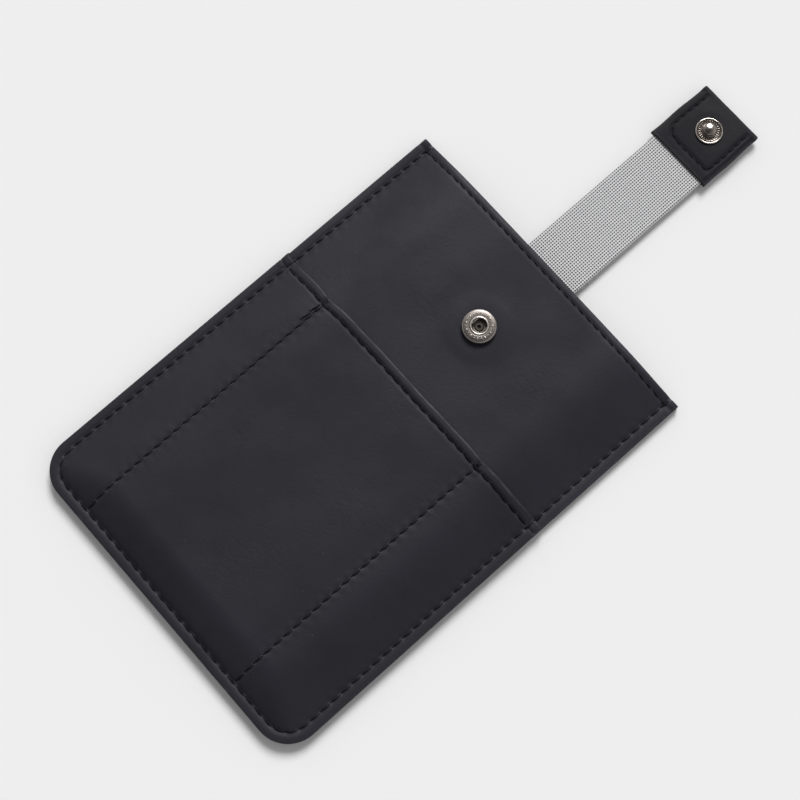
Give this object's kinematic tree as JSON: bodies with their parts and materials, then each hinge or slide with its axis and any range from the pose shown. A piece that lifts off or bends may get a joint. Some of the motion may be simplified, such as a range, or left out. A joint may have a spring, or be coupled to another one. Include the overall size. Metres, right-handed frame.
{
  "type": "neck pouch wallet",
  "caption": "Flat lined leather travel pouch, open at the mouth, with a sectioned front pocket and a webbing pull strap whose leather tab folds over the mouth and snaps shut.",
  "frame": {"origin": "centre of the pouch's back face, on the surface it lies on", "axes": "+X to the right across the pouch, +Y along it towards the mouth and the tab, +Z out of the front face"},
  "size_m": [0.1204, 0.247, 0.0116],
  "materials": {
    "panel_leather": "matte charcoal smooth-grain leather with fine creases",
    "pocket_leather": "matte charcoal smooth-grain leather",
    "tab_leather": "matte charcoal smooth-grain leather",
    "lining": "black woven lining cloth",
    "thread": "black twisted sewing thread",
    "webbing": "woven grey, white and black ribbed webbing",
    "snap_metal": "antique nickel plate, worn bright on the raised edges",
    "spring_wire": "bright spring wire"
  },
  "bodies": {
    "pouch": {"back_panel": "panel_leather", "back_lining": "lining", "front_lining": "lining", "front_panel": "panel_leather", "front_pocket": "pocket_leather", "perimeter_stitching": "thread", "mouth_front_stitching": "thread", "mouth_back_stitching": "thread", "pocket_hem_stitching": "thread", "divider_stitching_left": "thread", "divider_stitching_right": "thread", "snap_socket": "snap_metal", "snap_socket_spring": "spring_wire", "snap_socket_post": "snap_metal", "strap_anchor_run": "webbing", "strap_anchor_stitching": "thread"},
    "pull_strap": {"strap_back_run": "webbing"},
    "strap_loop": {"strap_loop": "webbing"},
    "strap_bend": {"strap_bend": "webbing"},
    "tab": {"strap_tip": "webbing", "tab_leather": "tab_leather", "tab_stitching": "thread", "snap_stud": "snap_metal", "snap_stud_cap": "snap_metal"}
  },
  "joints": [
    {"name": "strap_pull", "type": "slide", "parent": "pouch", "child": "pull_strap", "axis": [0, 1, 0], "range_m": [-0.02425, 0]},
    {"name": "strap_loop_slide", "type": "slide", "parent": "pouch", "child": "strap_loop", "axis": [0, 1, 0], "range_m": [-0.01213, 0]},
    {"name": "strap_fold", "type": "hinge", "parent": "pull_strap", "child": "strap_bend", "pos_m": [0, 0.10875, 0.0024], "axis": [1, 0, 0], "range_deg": [0, 90]},
    {"name": "tab_fold", "type": "hinge", "parent": "strap_bend", "child": "tab", "pos_m": [0, 0.1202, 0.0024], "axis": [1, 0, 0], "range_deg": [0, 90]}
  ],
  "couplings": [
    {"joint": "strap_loop_slide", "follows": "strap_pull", "ratio": 0.5},
    {"joint": "tab_fold", "follows": "strap_fold", "ratio": 1}
  ]
}
